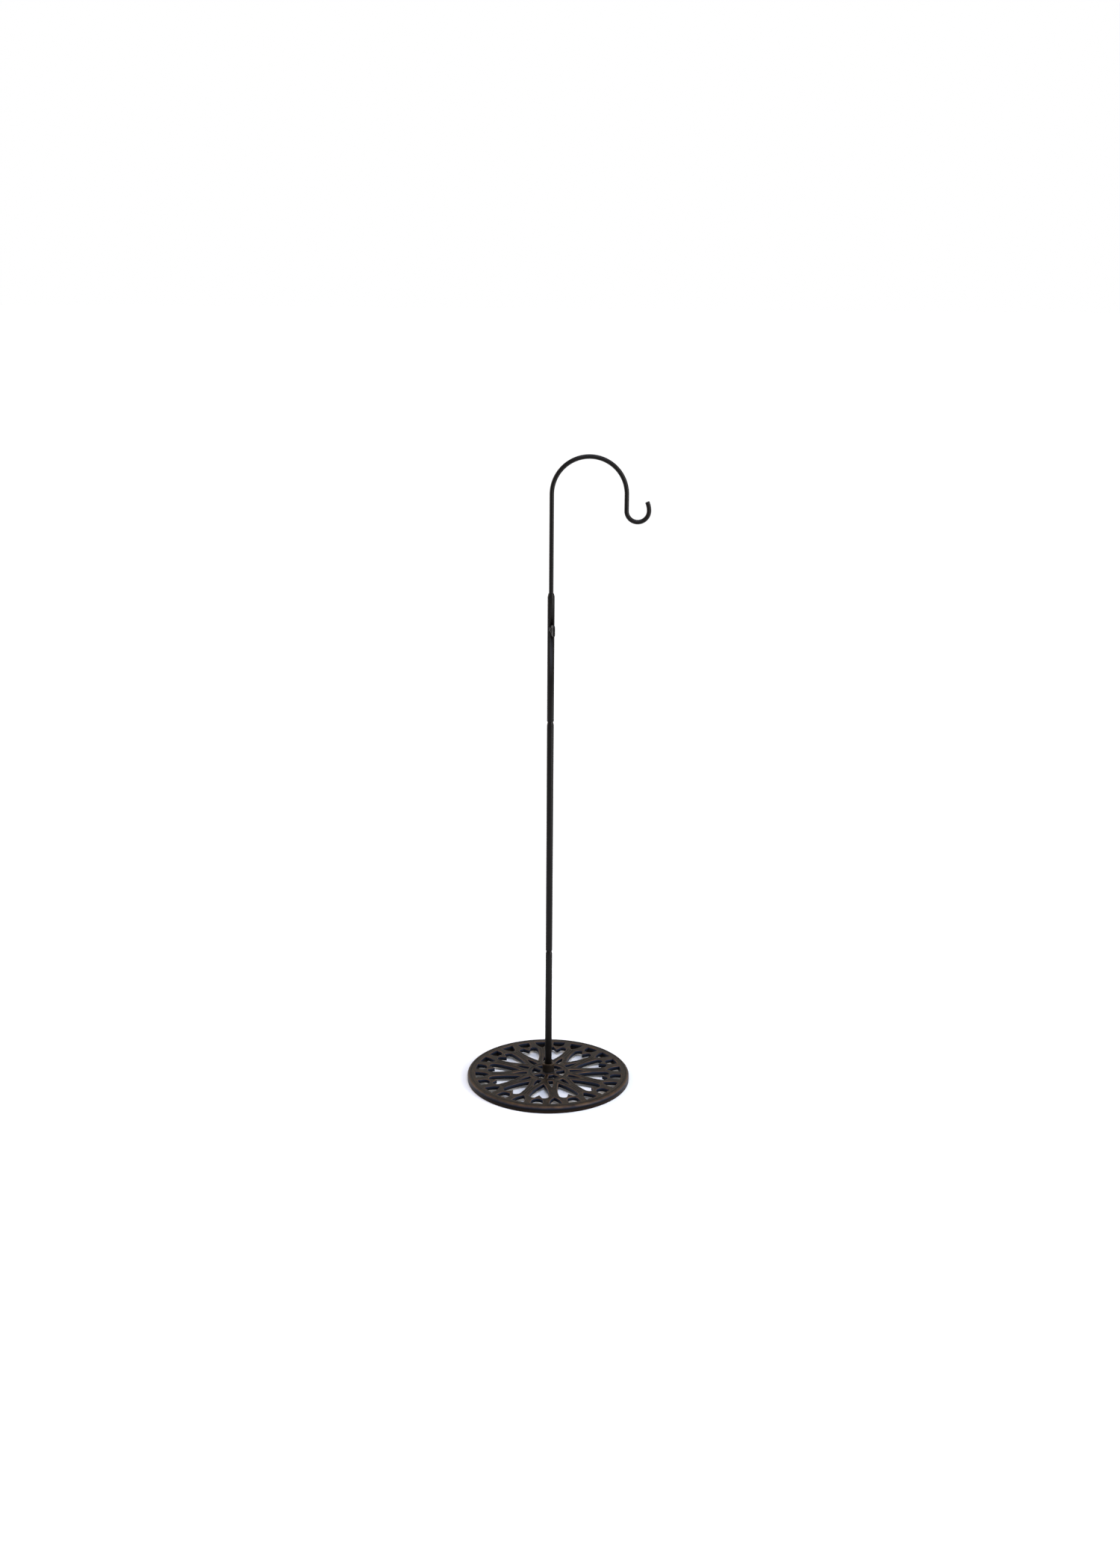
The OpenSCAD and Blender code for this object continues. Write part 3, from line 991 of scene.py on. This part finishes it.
# %% [markdown]
# Each part is now mirrored and turned to its place, twelve times for the petals and six times for
# the spokes. Points that fall together are merged, which closes the casting into one skin.

# %% Mirror, turn and join the base


def repeated(part, copies):
    """A part and its mirror image, turned evenly about the pole. Every copy of its points follows
    the one before, so its faces are the same numbers moved on by the number of points."""
    points, faces, marks = part
    both = np.concatenate([points, points * [1, -1, 1]])
    angles = rosette_turn + 2 * pi * np.arange(copies)[:, None] / copies
    points_round = lifted(turned_by(angles, both[:, 0], both[:, 1]), both[:, 2]).reshape(-1, 3)
    shift = len(points) * np.arange(2 * copies)[:, None, None]
    return points_round, (faces + shift).reshape(-1, faces.shape[1]), np.tile(marks, 2 * copies)


petal_parts = [*walls, web_top_part, web_under_part, rim_part, ring_part, ring_under_part]
spoke_parts = [wall(hub_line), hub_part, hub_low_part, boss_part]
base_parts = [repeated(part, petals) for part in petal_parts]
base_parts += [repeated(part, petals // 2) for part in spoke_parts]

base_points = np.concatenate([points for points, _, _ in base_parts])
base_marks = np.concatenate([marks for _, _, marks in base_parts])
base_faces, count = [], 0
for points, faces, _ in base_parts:
    base_faces.extend((faces + count).tolist())
    count += len(points)
base_shape = (base_points, base_faces)
make_piece("cast_base", base_shape, "base_iron", ["base_casting"], smooth_deg=70, marks=base_marks)

# %% [markdown]
# ## The hook rod
#
# One 8 mm bar is bent cold: a half-round arch, a short drop, and a small hook whose tip leans in.
# It is a circle carried along a path. All the bends lie in one plane, so it never twists on its way.

# %% Path of the hook rod
arch_r, drop_len, hook_r, tip_r = 65.0, 28.0, 19.5, 37.0
tip_turn = radians(25)
tip_round = 0.9
rod_foot, rod_top = extent("hook_rod", "z")
arch_z = rod_top - rod_r - arch_r
hook_z = arch_z - drop_len
hook_x = 2 * arch_r + hook_r
row_below_arch = 20

bent = join(
    straight((0, arch_z - row_below_arch), (0, arch_z), 2),
    arc((arch_r, arch_z), arch_r, pi, 0, 60),
    straight((2 * arch_r, arch_z), (2 * arch_r, hook_z), 3),
    arc((hook_x, hook_z), hook_r, pi, 2 * pi, 40),
    arc((hook_x + hook_r - tip_r, hook_z), tip_r, 0, tip_turn, 6),
)
tip_direction = bent[-1] - bent[-2]
tip_direction /= norm(tip_direction)
tip_cut = arc((rod_r - tip_round, -tip_round), tip_round, 0, pi / 2, 5)
bent = np.concatenate([bent[:-1], bent[-1] + tip_cut[:, 1:] * tip_direction])
print("the bent part has", len(bent), "rings")

# %% [markdown]
# Rings of other sizes at the foot make the turned neck that the plastic glide runs on, and the foot
# below it that was peened over to hold the glide. A step is drawn as two rings close together.

# %% Rings of the hook rod
rod_around = 40
neck_r, peen_r, peen_h = 3.0, 3.9, 2.0
glide_play = 0.2
body_at = extent("rod_glide", "z")[1] + glide_play - rod_foot
step_len = 0.01
row_above_foot = 200


def swept(path, radius):
    """A circle carried along a path in the XZ plane: each ring lies square to the path, half way
    between the directions before and after it."""
    steps = np.diff(path, axis=0)
    steps /= norm(steps, axis=1)[:, None] + 1e-12
    ahead = np.concatenate([steps[:1], steps[:-1] + steps[1:], steps[-1:]])
    ahead /= norm(ahead, axis=1)[:, None]
    side = np.stack([-ahead[:, 1], ahead[:, 0]], axis=1)
    ring = polar(radius[:, None], all_round(rod_around))
    off, out_of_plane = ring[..., 0], ring[..., 1]
    points = [path[:, :1] + side[:, :1] * off, out_of_plane, path[:, 1:] + side[:, 1:] * off]
    return np.stack(points, axis=-1).reshape(-1, 3), bar_faces(len(path), rod_around)


foot_rings = np.array([
    (0, peen_r - 0.5), (0.15, peen_r - 0.15), (0.5, peen_r), (peen_h, peen_r),
    (peen_h + step_len, neck_r), (body_at - step_len, neck_r),
    (body_at, rod_r - 0.4), (body_at + 0.4, rod_r), (row_above_foot, rod_r),
])
rod_path = np.concatenate([lifted(0 * foot_rings[:, :1], rod_foot + foot_rings[:, 0]), bent])
bent_r = np.full(len(bent) - len(tip_cut), rod_r)
rod_radii = np.concatenate([foot_rings[:, 1], bent_r, tip_cut[:, 0]])
rod_shape = swept(rod_path, rod_radii)
make_piece("bent_rod", rod_shape, "pole_black", ["hook_rod"], body="hook", smooth_deg=50)

# %% [markdown]
# ## Nut and thumb screw
#
# A short hexagon nut is saddled over the tube and welded all round. Its outline is the distance
# from the centre to a flat at each angle, held to a circle where the corners are turned off.

# %% Clamp nut
screw_angle = radians(-80)
screw_z = sum(extent("thumb_screw", "z")) / 2
screw_r = 3.0
nut_out = tube_r + 5
nut_flat = 5.0
nut_corner = nut_flat / cos(pi / 6) - 0.12
nut_hole_r = screw_r + 0.05
nut_around = all_round(96)
sunk_in_tube = 0.02


def beside_pole(along, across, up):
    """Turn (along the screw, across it, up) into (x, y, z), with the screw's place and angle."""
    return lifted(turned_by(screw_angle, along, across), screw_z + up)


def hexagon(a, flat, corner_r):
    """Distance from the centre to a hexagon's side at angle a: flat / cos of the angle from the
    nearest flat's middle, held to corner_r at the corners."""
    from_flat = (a + pi / 6) % (pi / 3) - pi / 6
    return np.minimum(flat / np.cos(from_flat), corner_r)


def on_tube(across):
    """How far along the screw the tube's outside lies, at a distance across it."""
    return np.sqrt(tube_r**2 - across**2)


nut_side = hexagon(nut_around, nut_flat, nut_corner)

# Each ring has its radius and how far along it lies. None is on the tube.
nut_rings = [
    (nut_side, None), (nut_side, nut_out - 1.0),
    (hexagon(nut_around, nut_flat, 5.45), nut_out - 0.35), (4.8, nut_out),
    (nut_hole_r + 0.45, nut_out), (nut_hole_r, nut_out - 0.45), (nut_hole_r, None),
]
nut_points = []
for radius, along in nut_rings:
    across, up = polar(radius, nut_around).T
    along = on_tube(across) - sunk_in_tube if along is None else along
    nut_points.append(beside_pole(along, across, up))
nut_faces = grid_faces(len(nut_rings), len(nut_around), wrap_rows=True, wrap_columns=True)
make_piece("welded_nut", (np.concatenate(nut_points), nut_faces), "pole_black", ["clamp_nut"])

# %% [markdown]
# The weld is a bead laid where the nut meets the tube, with the small waves that a welder's hand
# leaves. It is a ring of small circles whose radius rises and falls.

# %% Weld round the nut
bead_at = nut_side + 0.1
bead_r = 0.95 + 0.12 * np.sin(26 * nut_around)
bead_squash = 0.75
bead_steps = 12
bead_turn = all_round(bead_steps)[:, None]
across, up = np.moveaxis(polar(bead_at + bead_r * np.cos(bead_turn), nut_around), -1, 0)
along = on_tube(bead_at * np.cos(nut_around)) + bead_r * bead_squash * np.sin(bead_turn)
bead_points = beside_pole(along, across, up).reshape(-1, 3)
bead_faces = grid_faces(bead_steps, len(nut_around), wrap_rows=True, wrap_columns=True)
make_piece("nut_weld", (bead_points, bead_faces), "pole_black", smooth_deg=60)

# %% [markdown]
# The screw's head is a flat paddle for finger and thumb, pressed out of the round bar. Its sections
# pass from a circle at the neck to a wide rounded rectangle.

# %% Sections of the thumb screw
head_h, head_t, head_round, face_round = 20.0, 4.0, 4.0, 0.9
neck_out = nut_out + 1
neck_end, bar_r = neck_out + 1.2, 4.5
head_in, head_out = neck_out + 3, neck_out + 19
head_power = 0.28
thread_pitch, thread_depth = 1.0, 0.5
tip_at = rod_r + 0.05


def sections(along, half_up, half_across, power):
    """Rows of (along, half height, half width, power), from a value or an array for each."""
    return np.column_stack(np.broadcast_arrays(along, half_up, half_across, power))


tip = [(tip_at, 2.0), (tip_at + 0.05, 2.2), (tip_at + 0.5, 2.5)]
threads = [(along, screw_r) for along in np.arange(tip_at + 1, neck_out - 0.4, thread_pitch / 8)]
neck = [(neck_out - 0.3, 2.7), (neck_out, 4.1), (neck_out + 0.4, bar_r), (neck_end, bar_r)]
bar_along, bar_radius = np.array(tip + threads + neck).T

t = np.linspace(0, 1, 9)[1:]
swell = fade(t, 0, 1)
end = np.linspace(0, pi / 2, 9)
end_edge = np.minimum(1, (1 - np.sin(end)) * head_round / face_round)
screw_sections = np.concatenate([
    sections(bar_along, bar_radius, bar_radius, 1),
    sections(
        neck_end + (head_in + head_round - neck_end) * t,
        bar_r + (head_h / 2 - bar_r) * t,
        bar_r + (head_t / 2 - bar_r) * swell,
        1 - (1 - head_power) * swell,
    ),
    [(head_out - head_round - 2, head_h / 2, head_t / 2, head_power)],
    sections(
        head_out - head_round + head_round * np.sin(end),
        head_h / 2 - head_round * (1 - np.cos(end)),
        head_t / 2 - face_round * (1 - np.sqrt(1 - (1 - end_edge) ** 2)),
        head_power,
    ),
])
print("the screw has", len(screw_sections), "sections")

# %% [markdown]
# Where the screw shows between nut and neck, it has its M6 thread: a helix, which is a groove whose
# depth depends on the distance along the screw less the angle round it. Both faces of the head are
# slightly dished, for the thumb.

# %% Thumb screw
dish_share = 0.22


def superellipse(a, half_up, half_across, power):
    """Point at angle a on |y / half_across|^n + |z / half_up|^n = 1, with power = 2 / n: 1 gives
    an ellipse, and a small power a rectangle with round corners."""
    c, s = np.cos(a), np.sin(a)
    across = half_across * np.sign(c) * np.abs(c) ** power
    return across, half_up * np.sign(s) * np.abs(s) ** power


def thread_groove(along, pitch, angle):
    """Depth of a thread from 0 to 1: a cosine wave of the turns along less the angle round."""
    return 0.5 - 0.5 * np.cos(2 * pi * along / pitch - angle)


screw_around = all_round(64)
along, half_up, half_across, power = (column[:, None] for column in screw_sections.T)
across, up = superellipse(screw_around, half_up, half_across, power)
threaded = (along > tip_at + 0.9) & (along < neck_out - 0.35)
groove = thread_depth * thread_groove(along, thread_pitch, screw_around) / screw_r
slim = np.where(threaded, 1 - groove, 1)
dish = fade(along, head_in, head_in + 5) * (1 - fade(along, head_out - 6, head_out - 1))
dished = 1 - dish_share * dish * (1 - fade(np.abs(up), 4.0, 9.0))
screw_points = beside_pole(along, across * slim * dished, up * slim).reshape(-1, 3)
screw = (screw_points, bar_faces(len(screw_sections), len(screw_around)))
make_piece("screw_with_flat_head", screw, "pole_black", ["thumb_screw"], "clamp_screw", smooth_deg=50)

# %% [markdown]
# ## Top tube
#
# The top tube is turned like the others, and then drilled for the screw. Here a Boolean is the
# right tool, because a drill leaves a sharp edge too. Its result is taken into the mesh, so the
# drill doesn't stay in the scene.

# %% Top tube, drilled
top_tube = make_tube("upper_tube")
outwards = Vector((cos(screw_angle), sin(screw_angle), 0))
drill_len = 2 * tube_r
middle = Vector((0, 0, screw_z)) + outwards * drill_len / 2
bpy.ops.mesh.primitive_cylinder_add(vertices=48, radius=nut_hole_r * MM, depth=drill_len * MM)
drill = bpy.context.object
facing = outwards.to_track_quat("Z", "Y").to_matrix().to_4x4()
drill.matrix_world = Matrix.Translation(middle * MM) @ facing
cut = top_tube.modifiers.new("drill", "BOOLEAN")
cut.object, cut.operation, cut.solver = drill, "DIFFERENCE", "EXACT"
bpy.context.view_layer.update()
cut_tube = top_tube.evaluated_get(bpy.context.evaluated_depsgraph_get())
undrilled, top_tube.data = top_tube.data, bpy.data.meshes.new_from_object(cut_tube)
top_tube.modifiers.clear()
top_tube.data.name = undrilled.name
bpy.data.meshes.remove(undrilled)
bpy.data.meshes.remove(drill.data)
print("drilled tube", len(top_tube.data.polygons), "faces")

# %% [markdown]
# ## Bolt and washers under the base
#
# These show only when the stand is turned over. The corners of the bolt's head are turned off: the
# outline there is again the smaller of a hexagon and a circle.

# %% Base bolt
bolt_low, bolt_high = extent("base_bolt", "z")
bolt_flat, bolt_shank_r, bolt_pitch, bolt_thread_depth = 6.5, 4.0, 1.25, 0.65
bolt_corner = bolt_flat / cos(pi / 6)
bolt_head_h = 5.3
head_top = bolt_low + bolt_head_h
bolt_around = all_round(72)
ridges = np.arange(head_top + 3, bolt_high - 1, bolt_pitch / 8)

# Each ring has its height and its radius. The head's corners grow from a circle to a hexagon.
bolt_rings = [(bolt_low, bolt_flat - 0.5)]
corners = [(0.25, 6.6), (0.6, 7.1), (0.9, bolt_corner), (bolt_head_h, bolt_corner)]
for up, corner_r in corners:
    bolt_rings.append((bolt_low + up, hexagon(bolt_around, bolt_flat, corner_r)))
bolt_rings += [(head_top, bolt_shank_r), (ridges[0] - 0.1, bolt_shank_r)]
for z in ridges:
    groove = bolt_thread_depth * thread_groove(z, bolt_pitch, bolt_around)
    bolt_rings.append((z, bolt_shank_r - groove))
bolt_rings += [(bolt_high - 0.6, 3.3), (bolt_high, 2.8)]
bolt_points = np.concatenate([lifted(polar(radius, bolt_around), z) for z, radius in bolt_rings])
bolt_shape = (bolt_points, bar_faces(len(bolt_rings), len(bolt_around)))
make_piece("foot_bolt", bolt_shape, "zinc_plate", ["base_bolt"], smooth_deg=35)

# %% [markdown]
# The plain washer is stamped from sheet, with softened edges. The spring washer is a ring cut
# through, with ends that stand a little apart, so it is a profile carried not quite all round.

# %% Washers
washer_profile = sleeve_profile("flat_washer", (4.2, 0.15), (8, 0.35))
make_piece("plain_washer", turned(washer_profile), "zinc_plate", ["flat_washer"])

coil_profile = sleeve_profile("spring_washer", (4.05, 0.3), (6.5, 0.3))
half_gap = 0.06
coil_angles = np.linspace(half_gap, 2 * pi - half_gap, 73)
coil_shape = (carried(coil_profile, coil_angles), bar_faces(len(coil_angles), len(coil_profile)))
make_piece("split_washer", coil_shape, "zinc_plate", ["spring_washer"])

# %% [markdown]
# ## Pieces inside the tubes
#
# The threaded plugs and the plastic glide can't be seen in a finished stand. They keep their packed
# shapes, and only get the finish of the real part.

# %% Hidden pieces
hidden = {"zinc_plate": ["foot_insert", "lower_joint_stud", "upper_joint_stud"]}
hidden["black_nylon"] = ["rod_glide"]
for slot, nodes in hidden.items():
    for node in nodes:
        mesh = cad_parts[node].data
        mesh.materials.clear()
        mesh.materials.append(finishes[slot])
print("finish only", hidden)
